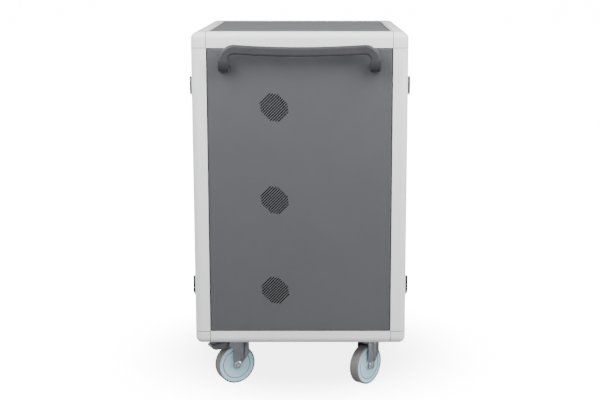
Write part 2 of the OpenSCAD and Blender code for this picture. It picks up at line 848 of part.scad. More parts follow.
// Lock knob with its spindle and cam; at rest the wing lies across and the cam stands upright
module lock_knob() {
  knob_z = lock_plate_t + seam;
  cam_z = -panel_depth - cam_gap - cam_t;
  color(BLACK) on_front(door_y, lock_z) translate([lock_x, 0, 0]) {
    translate([0, 0, knob_z]) cylinder(h = knob_t, r = knob_r);
    translate([0, 0, knob_z]) rotate([0, 0, 90]) obround(wing_w, wing_l, wing_t);
    translate([0, 0, cam_z]) cylinder(h = knob_z - cam_z + cut, r = spindle_r);
    translate([0, (cam_l - cam_w) / 2, cam_z]) obround(cam_w, cam_l, cam_t);
  }
}

// Castors: local x along the trail, local y along the axle, local z up from the floor

module at_castor(c) { translate([c[0], c[1], 0]) rotate([0, 0, c[2]]) children(); }

// The four bolt holes of a castor plate
module plate_holes(h) {
  for (x = [-1, 1], y = [-1, 1])
    translate([x * hole_x, y * hole_y, 0]) cylinder(h = h, r = castor_bolt_r + seam);
}

module castor_plate() {
  difference() {
    translate([0, 0, castor_h - plate_t]) round_plate(plate_l, plate_w, plate_t, plate_r);
    translate([0, 0, castor_h - plate_t - cut]) plate_holes(plate_t + 2 * cut);
  }
  translate([0, 0, castor_h - plate_t - race_h]) cylinder(h = race_h, r = race_r);
  translate([0, 0, crown_z0 - seam - king_nut_h])
    cylinder(h = castor_h - crown_z0 + king_nut_h - cut, r = king_r);
  translate([0, 0, crown_z0 - seam - king_nut_h])
    cylinder(h = king_nut_h, r = king_nut_r, $fn = 6);
}

module castor_plates() {
  color(ZINC) for (c = CASTORS) translate([c[0], c[1], 0]) castor_plate();
}

module castor_bolts() {
  bottom = castor_h - plate_t - castor_bolt_head_h;
  color(ZINC) for (c = CASTORS, x = [-1, 1], y = [-1, 1])
    translate([c[0] + x * hole_x, c[1] + y * hole_y, bottom]) {
      cylinder(h = castor_bolt_head_h, r = castor_bolt_head_r, $fn = 6);
      cylinder(h = castor_bolt_head_h + plate_t + tray_t + 2 * castor_bolt_nut_h, r = castor_bolt_r);
      translate([0, 0, castor_bolt_head_h + plate_t + tray_t])
        cylinder(h = castor_bolt_nut_h, r = castor_bolt_head_r, $fn = 6);
    }
}

// Leg of the fork in side view
module leg_outline(braked) {
  union() {
    polygon([[leg_back, crown_z1], [leg_front, crown_z1], [trail + leg_foot_r, wheel_r],
             [trail - leg_foot_r, wheel_r], [leg_back, leg_waist_z]]);
    translate([trail, wheel_r]) circle(leg_foot_r);
    if (braked) polygon([[leg_front - leg_t, crown_z1], [pedal_x, pedal_z + ear_r],
                         [pedal_x, pedal_z - ear_r], [leg_front - leg_t, pedal_z - 2 * ear_r]]);
    if (braked) translate([pedal_x, pedal_z]) circle(ear_r);
  }
}

// One side of the fork, with its pressed rib
module fork_side(braked) {
  rib_y = leg_in + leg_t + rib_out - rib_r;
  rib_z = wheel_r + leg_foot_r + rib_r;
  translate([0, leg_in + leg_t, 0]) rotate([90, 0, 0]) linear_extrude(leg_t) leg_outline(braked);
  translate([rib_x, rib_y, rib_z]) cylinder(h = crown_z1 - rib_z, r = rib_r);
  translate([rib_x, rib_y, rib_z]) sphere(rib_r);
}

// Fork with its crown, axle and, on the braked castors, the pedal's pin
module fork(braked) {
  head_y = leg_in + leg_t;
  difference() {
    union() {
      translate([0, 0, crown_z0]) cylinder(h = crown_t, r = crown_r);
      translate([leg_back, -head_y, crown_z0]) cube([leg_front - leg_back, 2 * head_y, crown_t]);
      fork_side(braked);
      mirror([0, 1, 0]) fork_side(braked);
    }
    translate([0, 0, crown_z0 - cut]) cylinder(h = crown_t + 2 * cut, r = king_r + run);
    translate([leg_back - cut, -leg_in, wheel_r - leg_foot_r])
      cube([leg_front + pedal_x, 2 * leg_in, crown_z0 - wheel_r + leg_foot_r]);
  }
  translate([trail, 0, wheel_r]) rotate([90, 0, 0]) {
    cylinder(h = 2 * head_y, r = axle_r, center = true);
    for (s = [0, 1]) mirror([0, 0, s]) translate([0, 0, head_y])
      cylinder(h = axle_head_h, r = axle_head_r, $fn = 6);
  }
  if (braked) translate([pedal_x, 0, pedal_z]) rotate([90, 0, 0])
    cylinder(h = 2 * head_y, r = pedal_pin_r, center = true);
}

// Wheel centre in section: x is the radius, y runs along the axle
module hub_section() {
  face = tread_w / 2;
  low = face - face_sink;
  half = [[axle_r + run, hub_w / 2], [hub_boss_r, hub_w / 2],
          [hub_boss_r + face_sink, low], [groove_r - groove_w, low],
          [groove_r - groove_w, low - groove_d], [groove_r, low - groove_d], [groove_r, low],
          [hub_r - 2 * face_sink, face - seam], [hub_r - face_sink, face - seam],
          [hub_r, face - face_sink]];
  last = len(half) - 1;
  polygon(concat(half, [for (i = [last : -1 : 0]) [half[i][0], -half[i][1]]]));
}

module at_wheel() { translate([trail, 0, wheel_r]) rotate([90, 0, 0]) children(); }
module hub() {
  color(HUB) at_wheel() rotate_extrude() hub_section();
}

module tread() {
  inner = hub_r + seam;
  color(TREAD) at_wheel() rotate_extrude() intersection() {
    translate([inner, -tread_w / 2]) square([wheel_r - inner, tread_w]);
    union() {
      translate([0, shoulder_r - tread_w / 2]) square([wheel_r, tread_w - 2 * shoulder_r]);
      translate([0, -tread_w / 2]) square([wheel_r - shoulder_r, tread_w]);
      for (s = [-1, 1])
        translate([wheel_r - shoulder_r, s * (tread_w / 2 - shoulder_r)]) circle(shoulder_r);
    }
  }
}

// A point of the pedal in side view, from its two shares
function pedal_at(p) = [p[0] * pedal_x, pedal_z + p[1] * pedal_hub_r];

// Brake pedal in side view: the arm round the pin, then the tongue past the wheel
module arm_outline() {
  union() {
    translate([pedal_x, pedal_z]) circle(pedal_hub_r);
    polygon([for (p = arm_shares) pedal_at(p)]);
  }
}

module tongue_outline() { polygon([for (p = tongue_shares) pedal_at(p)]); }

module brake_pedal() {
  color(BLACK) difference() {
    rotate([90, 0, 0]) {
      linear_extrude(pedal_w, center = true) arm_outline();
      linear_extrude(tongue_w, center = true) tongue_outline();
      for (p = rib_shares) translate(concat(pedal_at(p), 0))
        cylinder(h = tongue_w - 2 * shoulder_r, r = tread_rib_r, center = true);
    }
    translate([pedal_x, 0, pedal_z]) rotate([90, 0, 0])
      cylinder(h = tongue_w, r = pedal_pin_r + run, center = true);
  }
}

post(-1, -1);  // post_front_left
post(1, -1);  // post_front_right
post(-1, 1);  // post_rear_left
post(1, 1);  // post_rear_right
top_rails();
bottom_rails();
top_corner_blocks();
bottom_corner_blocks();
top_panel();
base_tray();
side_panel_right();
side_panel_left();
liner_right();
liner_left();
shelf(0);  // shelf_lower
shelf(1);  // shelf_middle
shelf(2);  // shelf_upper
dividers(0);  // dividers_lower
dividers(1);  // dividers_middle
dividers(2);  // dividers_upper
partitions();
power_strip(0);  // power_strip_lower
power_strip(1);  // power_strip_middle
power_strip(2);  // power_strip_upper
fan_housings();
fan_rotor_at(0);  // fan_rotor_lower
fan_rotor_at(1);  // fan_rotor_middle
fan_rotor_at(2);  // fan_rotor_upper
push_handles();
handle_bolts();
mains_gland();
to_left() door_leaf(false);  // door_front_left
door_leaf(true);  // door_front_right
to_rear() to_left() door_leaf(false);  // door_rear_left
to_rear() door_leaf(true);  // door_rear_right
hinge_post_leaves();
to_left() hinge_leaves();  // hinge_leaves_front_left
hinge_leaves();  // hinge_leaves_front_right
to_rear() to_left() hinge_leaves();  // hinge_leaves_rear_left
to_rear() hinge_leaves();  // hinge_leaves_rear_right
lock_plate();  // lock_plate_front
to_rear() lock_plate();  // lock_plate_rear
lock_knob();  // lock_knob_front
to_rear() lock_knob();  // lock_knob_rear
castor_plates();
castor_bolts();
color(ZINC) at_castor(FRONT_LEFT) fork(true);  // fork_front_left
color(ZINC) at_castor(FRONT_RIGHT) fork(true);  // fork_front_right
color(ZINC) at_castor(REAR_LEFT) fork(false);  // fork_rear_left
color(ZINC) at_castor(REAR_RIGHT) fork(false);  // fork_rear_right
at_castor(FRONT_LEFT) hub();  // hub_front_left
at_castor(FRONT_RIGHT) hub();  // hub_front_right
at_castor(REAR_LEFT) hub();  // hub_rear_left
at_castor(REAR_RIGHT) hub();  // hub_rear_right
at_castor(FRONT_LEFT) tread();  // tread_front_left
at_castor(FRONT_RIGHT) tread();  // tread_front_right
at_castor(REAR_LEFT) tread();  // tread_rear_left
at_castor(REAR_RIGHT) tread();  // tread_rear_right
at_castor(FRONT_LEFT) brake_pedal();  // brake_pedal_left
at_castor(FRONT_RIGHT) brake_pedal();  // brake_pedal_right
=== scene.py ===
# %% [markdown]
# # A laptop charging cart, dressed in Blender
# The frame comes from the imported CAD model, so every piece already has its real size and place.
# This script gives each part the finish that the real cart has, adds the small parts that CAD
# leaves out, and sets up a plain studio. All lengths are in metres, with Z up from the floor.

# %% Load the frame
import json
import math
import bmesh
import bpy
from mathutils import Matrix, Vector

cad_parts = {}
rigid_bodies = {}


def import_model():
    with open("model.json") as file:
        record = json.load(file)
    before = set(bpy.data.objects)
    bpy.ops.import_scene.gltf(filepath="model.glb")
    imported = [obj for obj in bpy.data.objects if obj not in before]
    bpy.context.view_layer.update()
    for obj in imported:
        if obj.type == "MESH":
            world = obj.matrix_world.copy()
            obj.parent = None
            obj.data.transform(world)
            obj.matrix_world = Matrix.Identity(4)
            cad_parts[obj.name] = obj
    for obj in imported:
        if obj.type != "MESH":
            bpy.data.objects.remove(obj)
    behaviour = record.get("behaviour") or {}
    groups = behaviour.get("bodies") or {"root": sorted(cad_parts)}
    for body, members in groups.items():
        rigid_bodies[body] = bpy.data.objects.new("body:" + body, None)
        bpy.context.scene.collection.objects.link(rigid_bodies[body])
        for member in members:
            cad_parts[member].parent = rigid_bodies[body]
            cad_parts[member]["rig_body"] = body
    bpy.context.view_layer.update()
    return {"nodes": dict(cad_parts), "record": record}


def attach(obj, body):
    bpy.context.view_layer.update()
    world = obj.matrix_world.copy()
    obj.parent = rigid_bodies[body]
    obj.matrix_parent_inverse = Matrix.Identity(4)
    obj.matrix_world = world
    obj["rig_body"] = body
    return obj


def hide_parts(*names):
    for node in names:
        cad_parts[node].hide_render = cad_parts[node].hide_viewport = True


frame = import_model()
nodes = frame["nodes"]
scene = bpy.context.scene

# %% [markdown]
# ## The camera
# The photograph looks squarely at the cart's right side from slightly above. A long lens keeps the
# upright edges almost parallel. The focal length, height and tilt were worked out from the
# outline of the body and from how its top and its wheels spread in the picture.

# %% Camera
CAMERA_AT, TILT_DOWN, LENS_MM = (3.962, 0.057, 1.313), 10.02, 71.9
SHIFT_X, SHIFT_Y = -0.0313, -0.04
bpy.ops.object.select_all(action="DESELECT")
bpy.ops.object.camera_add(location=CAMERA_AT,
                          rotation=(math.radians(90 - TILT_DOWN), 0, math.radians(90)))
camera = bpy.context.object
camera.name = "studio_camera"
camera.data.sensor_width = 36
camera.data.lens = LENS_MM
camera.data.shift_x = SHIFT_X
camera.data.shift_y = SHIFT_Y
camera.data.clip_end = 60
scene.camera = camera
print("lens:", camera.data.lens, "mm")

# %% [markdown]
# ## Colours and nodes
# Colours are noted as the hex values that a screen shows. Shaders work in linear light, so one
# function turns the first into the second. Another adds a shader node with its settings and its
# links, which keeps each material short enough to read. Every pattern is laid out in object
# coordinates, so it stays on its piece when the piece moves.

# %% Helpers for materials
def linear(colour):
    """A hex colour such as #d9dadb as linear red, green, blue and alpha."""
    parts = [int(colour[i:i + 2], 16) / 255 for i in (1, 3, 5)]
    return [c / 12.92 if c <= 0.04045 else ((c + 0.055) / 1.055) ** 2.4 for c in parts] + [1]


def add(tree, kind, sockets=None, **settings):
    """A new node of that kind; a socket's value is a number, a colour or another node's socket."""
    made = tree.nodes.new(kind)
    for name, value in settings.items():
        setattr(made, name, value)
    for name, value in (sockets or {}).items():
        if isinstance(value, bpy.types.NodeSocket):
            tree.links.new(value, made.inputs[name])
        else:
            made.inputs[name].default_value = value
    return made


def start(name):
    """A new material with its tree, its shader and its object coordinates."""
    made = bpy.data.materials.new(name)
    made.use_nodes = True
    tree = made.node_tree
    shader = tree.nodes["Principled BSDF"]
    place = add(tree, "ShaderNodeTexCoord").outputs["Object"]
    return made, tree, shader, place


def blend_colours(tree, share, first, second):
    """The first colour where share is 0 and the second where it is 1."""
    mixed = add(tree, "ShaderNodeMix", {"Factor": share}, data_type="RGBA")
    for i, value in ((6, first), (7, second)):
        if isinstance(value, bpy.types.NodeSocket):
            tree.links.new(value, mixed.inputs[i])
        else:
            mixed.inputs[i].default_value = value
    return mixed.outputs[2]


def grain(tree, place, size, detail=2.0, rough=0.5):
    """Noise whose lumps are about that size across, from 0 to 1."""
    noise = add(tree, "ShaderNodeTexNoise", {"Vector": place, "Scale": 1 / size,
                                             "Detail": detail, "Roughness": rough})
    return noise.outputs["Fac"]


def spread(tree, value, low, high):
    """A value from 0 to 1, moved to run from low to high."""
    moved = add(tree, "ShaderNodeMapRange", {"Value": value, "To Min": low, "To Max": high})
    return moved.outputs[0]


def relief(tree, shader, height, strength, distance):
    """Bumps from that height, plugged into the shader."""
    bump = add(tree, "ShaderNodeBump", {"Height": height, "Strength": strength,
                                        "Distance": distance})
    tree.links.new(bump.outputs[0], shader.inputs["Normal"])


# %% [markdown]
# ## Powder coat
# The steel is powder coated: dry polyester powder is baked on until it flows together. That
# leaves a tough satin skin with a faint orange peel, soft lumps about 1.5 mm across. Here the peel
# is drawn at 2.5 mm so that it shows. Broad, faint clouds in the colour keep large flat panels
# from looking like plastic. Three shades are used: graphite, a mid grey inside, and the light
# grey of the frame, which comes next.

# %% Powder coats
CLOUD, SHEEN, PEEL = 0.35, 0.06, 0.0025          # sizes of the lumps in tone, gloss and relief


def powder_coat(name, colour, shade, roughness):
    """Satin powder coat; shade is the slightly deeper tone of its clouds."""
    made, tree, shader, place = start(name)
    clouds = grain(tree, place, CLOUD, detail=3.0)
    toned = blend_colours(tree, clouds, linear(colour), linear(shade))
    tree.links.new(toned, shader.inputs["Base Color"])
    tree.links.new(spread(tree, grain(tree, place, SHEEN), roughness - 0.05, roughness + 0.05),
                   shader.inputs["Roughness"])
    relief(tree, shader, grain(tree, place, PEEL), strength=0.12, distance=0.0004)
    shader.inputs["IOR"].default_value = 1.5
    return made


panel_coat = powder_coat("graphite_powder_coat", "#454649", "#404144", 0.42)
inner_coat = powder_coat("mid_grey_powder_coat", "#a2a4a7", "#989a9d", 0.48)
print("powder coats:", panel_coat.name, inner_coat.name)

# %% [markdown]
# ## The joints of the frame
# Each corner of the frame is a cast block that plugs into a post and two rails. All are flush, so
# only a hairline shows where they meet. The blocks end at known planes, so the light grey coat
# darkens within a millimetre of those planes, wherever two parts of the frame meet there.

# %% Light grey coat with its hairline joints
JOINT_HALF = 0.0008                              # half the width of a line
POST_ENDS = (0.193, 1.068)                       # heights where posts meet corner blocks
RAIL_END_X, RAIL_END_Y = 0.344, 0.279            # where rails meet corner blocks
POST_X, POST_Y, POST_HALF = 0.367, 0.302, 0.0236
OPEN_MID, OPEN_HALF = 0.6305, 0.437              # the heights between the rails


def near(tree, value, at, reach):
    """1 where the value is within reach of at, and 0 elsewhere."""
    test = add(tree, "ShaderNodeMath", {0: value, 1: at, 2: reach}, operation="COMPARE")
    return test.outputs[0]


def combine(tree, first, second, operation):
    """Two values put together by that operation."""
    return add(tree, "ShaderNodeMath", {0: first, 1: second}, operation=operation).outputs[0]


def jointed_coat(name, colour, shade, line, roughness):
    """Powder coat with a darker line at the ends of the corner blocks."""
    made = powder_coat(name, colour, shade, roughness)
    tree = made.node_tree
    shader = tree.nodes["Principled BSDF"]
    coat = shader.inputs["Base Color"].links[0].from_socket
    place = tree.nodes["Texture Coordinate"].outputs["Object"]
    axes = add(tree, "ShaderNodeSeparateXYZ", {"Vector": place}).outputs
    x = add(tree, "ShaderNodeMath", {0: axes["X"]}, operation="ABSOLUTE").outputs[0]
    y = add(tree, "ShaderNodeMath", {0: axes["Y"]}, operation="ABSOLUTE").outputs[0]
    z = axes["Z"]
    low, high = [near(tree, z, end, JOINT_HALF) for end in POST_ENDS]
    on_post = combine(tree, near(tree, x, POST_X, POST_HALF), near(tree, y, POST_Y, POST_HALF),
                      "MULTIPLY")
    post_lines = combine(tree, combine(tree, low, high, "ADD"), on_post, "MULTIPLY")
    on_rail = combine(tree, 1.0, near(tree, z, OPEN_MID, OPEN_HALF), "SUBTRACT")
    at_end = combine(tree, near(tree, x, RAIL_END_X, JOINT_HALF),
                     near(tree, y, RAIL_END_Y, JOINT_HALF), "MAXIMUM")
    lines = combine(tree, post_lines, combine(tree, on_rail, at_end, "MULTIPLY"), "MAXIMUM")
    tree.links.new(blend_colours(tree, lines, coat, linear(line)), shader.inputs["Base Color"])
    return made


frame_coat = jointed_coat("light_grey_powder_coat", "#d8d9da", "#d1d2d3", "#2f3032", 0.42)
print("frame coat:", frame_coat.name)

# %% [markdown]
# ## Mouldings and coated fittings
# The handles, the bay dividers, the power strips, the fans, the pedals and the wheels' discs are
# moulded plastic. The mould has a spark-eroded grain of about 0.3 mm, drawn here at 1 mm or more
# so that it shows, and it breaks the reflections up. The hinges and the locks are die cast and
# coated in a smoother satin black.

# %% Plastics
RUBBED, GLOSS = 0.045, 0.02                      # sizes of the rubbed places and of gloss patches


def moulded(name, colour, worn, roughness, size, strength):
    """Moulded plastic with an eroded grain; worn is the tone of rubbed places."""
    made, tree, shader, place = start(name)
    rubbed = spread(tree, grain(tree, place, RUBBED, detail=4.0, rough=0.6), -0.6, 1.1)
    toned = blend_colours(tree, rubbed, linear(colour), linear(worn))
    tree.links.new(toned, shader.inputs["Base Color"])
    tree.links.new(spread(tree, grain(tree, place, GLOSS, detail=3.0),
                          roughness - 0.06, roughness + 0.06), shader.inputs["Roughness"])
    relief(tree, shader, grain(tree, place, size, detail=1.0), strength, distance=0.0003)
    shader.inputs["IOR"].default_value = 1.49
    return made


# Each has a colour, a rubbed colour, a roughness, and the size and strength of its grain. The
# fans' plastic is near black and reflects next to nothing, so that the slots in front of it look
# black: partly the black of the plastic, partly painted shade for the dark behind the vents.
fan_black_and_painted_shade = moulded("black_fan_plastic_and_painted_shade", "#0b0b0c", "#101011", 0.85, 0.001, 0.3)
fan_black_and_painted_shade.node_tree.nodes["Principled BSDF"].inputs["Specular IOR Level"].default_value = 0.12
inner_black = moulded("grained_black_abs", "#1d1e20", "#2a2b2e", 0.55, 0.001, 0.25)
handle_black = moulded("satin_black_nylon", "#2c2c2f", "#343437", 0.40, 0.0012, 0.12)
fitting_black = moulded("black_coated_die_casting", "#17181a", "#222326", 0.40, 0.0015, 0.12)
pedal_grey = moulded("grey_glass_filled_nylon", "#4b4d51", "#5d5f63", 0.34, 0.001, 0.2)
wheel_blue = moulded("blue_grey_polypropylene", "#a6c8d8", "#9dbfd0", 0.36, 0.002, 0.1)
print("plastics: 6")

# %% [markdown]
# ## Zinc plating
# The castor forks, plates and bolts are pressed steel with bright zinc plating. Zinc is a real
# metal, so its colour is in the reflection. The plating bath leaves soft patches some centimetres
# wide, and the press leaves fine scratches, which run along the sheet.

# %% Zinc
PATCH, SCRATCH = 0.03, 0.0012                    # sizes of the bath's patches and of the scratches
ALONG = 0.08                                     # draws the scratches out along Z


def plated(name, bright, dull, roughness):
    """Zinc-plated steel with patches and fine scratches."""
    made, tree, shader, place = start(name)
    patches = grain(tree, place, PATCH, detail=4.0, rough=0.6)
    toned = blend_colours(tree, patches, linear(bright), linear(dull))
    tree.links.new(toned, shader.inputs["Base Color"])
    stretched = add(tree, "ShaderNodeMapping", {"Vector": place, "Scale": (1.0, 1.0, ALONG)})
    scratches = grain(tree, stretched.outputs[0], SCRATCH)
    tree.links.new(spread(tree, combine(tree, scratches, patches, "MULTIPLY"),
                          roughness - 0.08, roughness + 0.2), shader.inputs["Roughness"])
    relief(tree, shader, scratches, strength=0.1, distance=0.0002)
    shader.inputs["Metallic"].default_value = 1.0
    return made


zinc = plated("zinc_plated_steel", "#8f9197", "#7b7d83", 0.30)
bright_zinc = plated("bright_zinc_plated_nuts", "#d6d8dc", "#c0c2c7", 0.16)
print("platings:", zinc.name, bright_zinc.name)

# %% [markdown]
# ## Grey tread rubber
# The tyre is thermoplastic rubber that leaves no marks on a floor. It is matt, a little warmer
# than the wheel, and it picks up a film of dust in its pores, which the fine noise stands for.

# %% Rubber
CLEAN, DUSTY = "#626362", "#73716e"
DUST_SIZE, PORE = 0.008, 0.0012                  # sizes of the dusty spots and of the pores
rubber, tree, shader, place = start("grey_tread_rubber")
dust = spread(tree, grain(tree, place, DUST_SIZE, detail=5.0, rough=0.65), -0.3, 1.2)
toned = blend_colours(tree, dust, linear(CLEAN), linear(DUSTY))
tree.links.new(toned, shader.inputs["Base Color"])
relief(tree, shader, grain(tree, place, PORE, detail=3.0), strength=0.3, distance=0.0003)
shader.inputs["Roughness"].default_value = 0.78
shader.inputs["IOR"].default_value = 1.5
print("rubber:", rubber.name)

# %% [markdown]
# ## Which part has which finish
# The record gives each CAD node a material slot. One table turns the slots into finishes, so a
# node can't be forgotten: a missing slot stops the script. The fans get a duller black of their
# own: they are raw plastic, and the deeper black is also painted shade for the dark behind the
# vents.

# %% Dress the CAD nodes
FINISHES = {"frame_paint": frame_coat, "panel_paint": panel_coat, "inner_paint": inner_coat,
            "black_plastic": inner_black, "handle_black": handle_black,
            "hardware_black": fitting_black, "zinc": zinc, "hub_plastic": wheel_blue,
            "tread_rubber": rubber, "pedal_plastic": pedal_grey}
SLOTS = {part["node"]: part["material_slot"] for part in frame["record"]["subparts"]}


def dress(piece, finish):
    """Gives the piece that one material."""
    piece.data.materials.clear()
    piece.data.materials.append(finish)


for node, slot in SLOTS.items():
    # The fans' deeper black is partly painted shade behind the vents.
    dress(nodes[node], fan_black_and_painted_shade if node.startswith("fan_") else FINISHES[slot])
print("dressed nodes:", len(SLOTS))

# %% [markdown]
# ## Rounded edges on pressed and cast parts
# No real edge is perfectly sharp. A press rounds the edge of a sheet and a mould needs a radius,
# and the eye reads that thin highlight as thickness. The CAD solids of the forks, pedals, hinges
# and locks have sharp edges, so each gets a copy whose triangles are merged back into flat faces
# and whose edges a bevel modifier rounds. Slivers that the bevel leaves are merged away. The copy
# then stands for the node and rides on its body.

# %% Round the edges
WELD, SLIVER = 0.00002, 0.00001                  # points closer than this become one
FLAT_WITHIN = 0.5                                # degrees between triangles of one flat face


def active_only(piece):
    """Makes that piece the only selected one."""
    bpy.ops.object.select_all(action="DESELECT")
    piece.select_set(True)
    bpy.context.view_layer.objects.active = piece


def smooth(piece, degrees=35):
    """Smooth shading, with edges sharper than that angle kept crisp."""
    active_only(piece)
    bpy.ops.object.shade_smooth_by_angle(angle=math.radians(degrees))


def round_edges(piece, width):
    """Rounds the piece's sharp edges with a bevel of that width."""
    edge = piece.modifiers.new("edges", "BEVEL")
    edge.width = width
    edge.segments = 2
    edge.limit_method = "ANGLE"
    edge.angle_limit = math.radians(40)
    edge.use_clamp_overlap = True
    bpy.ops.object.modifier_apply(modifier="edges")


def rounded(node, name, radius):
    """A copy of a CAD node with rounded edges, in the node's place and on its body."""
    source = nodes[node]
    made = bpy.data.objects.new(name, source.data.copy())
    scene.collection.objects.link(made)
    active_only(made)
    bpy.ops.object.mode_set(mode="EDIT")
    bpy.ops.mesh.select_all(action="SELECT")
    bpy.ops.mesh.remove_doubles(threshold=WELD)
    bpy.ops.mesh.dissolve_limited(angle_limit=math.radians(FLAT_WITHIN))
    bpy.ops.object.mode_set(mode="OBJECT")
    round_edges(made, radius)
    bpy.ops.object.mode_set(mode="EDIT")
    bpy.ops.mesh.select_all(action="SELECT")
    bpy.ops.mesh.remove_doubles(threshold=SLIVER)
    bpy.ops.mesh.dissolve_degenerate(threshold=SLIVER)
    bpy.ops.object.mode_set(mode="OBJECT")
    smooth(made)
    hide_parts(node)
    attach(made, source["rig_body"])


# Each corner's side along X (1 is right) and along Y (1 is rear).
CORNERS = {"front_left": (-1, -1), "front_right": (1, -1),
           "rear_left": (-1, 1), "rear_right": (1, 1)}
for corner in CORNERS:
    rounded("fork_" + corner, "pressed_fork_" + corner, 0.0007)
    rounded("hinge_leaves_" + corner, "cast_hinge_leaves_" + corner, 0.0006)
for side in ("left", "right"):
    rounded("brake_pedal_" + side, "pressed_pedal_" + side, 0.0012)
rounded("hinge_post_leaves", "cast_hinge_post_leaves", 0.0006)
for end in ("front", "rear"):
    rounded("lock_plate_" + end, "cast_lock_plate_" + end, 0.0008)
    rounded("lock_knob_" + end, "cast_lock_knob_" + end, 0.001)

# %% [markdown]
# ## Screws in the hinges
# A surface hinge is held by countersunk screws, two in each leaf. One screw head is modelled: a
# short cylinder whose upper face is inset twice and pressed down inside a raised rim, and two
# crossed bars stand for the recess. Then it is copied to every place, and the copies on one body
# are joined, so that they swing with their door.

# %% One screw head
def fresh(name, primitive, **settings):
    """A new piece from that primitive's operator, with nothing else selected."""
    bpy.ops.object.select_all(action="DESELECT")
    primitive(**settings)
    bpy.context.object.name = name
    return bpy.context.object


def pick_faces(piece, test):
    """In edit mode, selects the faces whose centre and normal pass the test."""
    bpy.ops.mesh.select_mode(type="FACE")
    bpy.ops.mesh.select_all(action="DESELECT")
    shape = bmesh.from_edit_mesh(piece.data)
    for face in shape.faces:
        face.select_set(bool(test(face.calc_center_median(), face.normal)))
    bmesh.update_edit_mesh(piece.data)


def screw_head(radius, height):
    """A countersunk head facing up at the origin, with a cross recess."""
    head = fresh("screw_head", bpy.ops.mesh.primitive_cylinder_add, vertices=24, radius=radius,
                 depth=height, location=(0, 0, height / 2))
    bpy.ops.object.transform_apply(location=True)
    bpy.ops.object.mode_set(mode="EDIT")
    pick_faces(head, lambda c, n: n.z > 0.9)
    bpy.ops.mesh.inset(thickness=radius * 0.14)
    bpy.ops.transform.translate(value=(0, 0, height * 0.25))
    bpy.ops.mesh.inset(thickness=radius * 0.3)
    bpy.ops.mesh.extrude_region_move(TRANSFORM_OT_translate={"value": (0, 0, -height * 0.7)})
    bpy.ops.object.mode_set(mode="OBJECT")
    for turn in (0, 90):
        fresh("bar", bpy.ops.mesh.primitive_cube_add, size=1, location=(0, 0, height * 0.55),
              scale=(radius * 1.15, radius * 0.3, height * 0.5),
              rotation=(0, 0, math.radians(turn + 45)))
        bpy.ops.object.transform_apply(location=True, rotation=True, scale=True)
        head.select_set(True)
        bpy.context.view_layer.objects.active = head
        bpy.ops.object.join()
    smooth(head, 30)
    return head


def copies(pattern, name, places, finish, body):
    """One object with a copy of the pattern at each place, riding on that body."""
    made = []
    for matrix in places:
        copy = bpy.data.objects.new("copy", pattern.data.copy())
        copy.data.transform(matrix)
        scene.collection.objects.link(copy)
        made.append(copy)
    bpy.ops.object.select_all(action="DESELECT")
    for copy in made:
        copy.select_set(True)
    bpy.context.view_layer.objects.active = made[0]
    if len(made) > 1:
        bpy.ops.object.join()
    group = bpy.context.object
    group.name = name
    dress(group, finish)
    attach(group, body)


# %% Put the screws in
HEAD_R, HEAD_H = 0.0034, 0.0009
HINGE_Z, SCREW_APART = (0.332, 0.953), 0.036     # middles of the hinges, and screws in one leaf
POST_LEAF_X, POST_LEAF_Y = 0.3565, 0.3285        # the screws' axis and the leaf's outer face
DOOR_LEAF_X, DOOR_LEAF_Y = 0.3292, 0.3270
head = screw_head(HEAD_R, HEAD_H)
on_posts = []
on_doors = {corner: [] for corner in CORNERS}
for corner, (right, rear) in CORNERS.items():
    turn = Matrix.Rotation(math.radians(-90 * rear), 4, "X")
    for hinge_z in HINGE_Z:
        for z in (hinge_z - SCREW_APART / 2, hinge_z + SCREW_APART / 2):
            post_leaf = Vector((right * POST_LEAF_X, rear * POST_LEAF_Y, z))
            door_leaf = Vector((right * DOOR_LEAF_X, rear * DOOR_LEAF_Y, z))
            on_posts.append(Matrix.Translation(post_leaf) @ turn)
            on_doors[corner].append(Matrix.Translation(door_leaf) @ turn)
copies(head, "hinge_screws_posts", on_posts, zinc, "frame")
for corner in CORNERS:
    copies(head, "hinge_screws_" + corner, on_doors[corner], zinc, "door_" + corner)
bpy.data.objects.remove(head)
print("screws:", len(on_posts) + sum(len(v) for v in on_doors.values()))

# %% [markdown]
# ## Key cylinders in the locks
# The wing of each lock turns only with its key. The key cylinder is a plated plug, sunk a little
# into the middle of the wing, with a narrow keyway. A boolean cuts its seat into the rounded
# wing. The plug is a short cylinder whose face is inset for the rim, and a second boolean cuts
# the keyway.

# %% Key cylinders
LOCK_X, LOCK_Z, WING_Y = 0.0355, 0.6305, 0.3408  # the lock's axis and the wing's outer face
SEAT_R, SEAT_LONG = 0.0050, 0.003                # the tool that cuts the seat, half of it inside
PLUG_R, PLUG_LONG, PLUG_IN = 0.0047, 0.0012, 0.0010
RIM, PROUD = 0.0007, 0.0002                      # width of the plug's rim, and its raised middle
KEYWAY = (0.0050, 0.0024, 0.0011)


def cut_out(piece, tool):
    """Takes the tool's volume out of the piece, and the tool away."""
    cut = piece.modifiers.new("cut", "BOOLEAN")
    cut.operation = "DIFFERENCE"
    cut.solver = "EXACT"
    cut.object = tool
    active_only(piece)
    bpy.ops.object.modifier_apply(modifier="cut")
    bpy.data.objects.remove(tool)


def lying_cylinder(name, radius, depth, y):
    """A cylinder along Y on the lock's axis, centred at that y."""
    made = fresh(name, bpy.ops.mesh.primitive_cylinder_add, vertices=40, radius=radius,
                 depth=depth, location=(LOCK_X, y, LOCK_Z), rotation=(math.radians(90), 0, 0))
    bpy.ops.object.transform_apply(location=True, rotation=True)
    return made


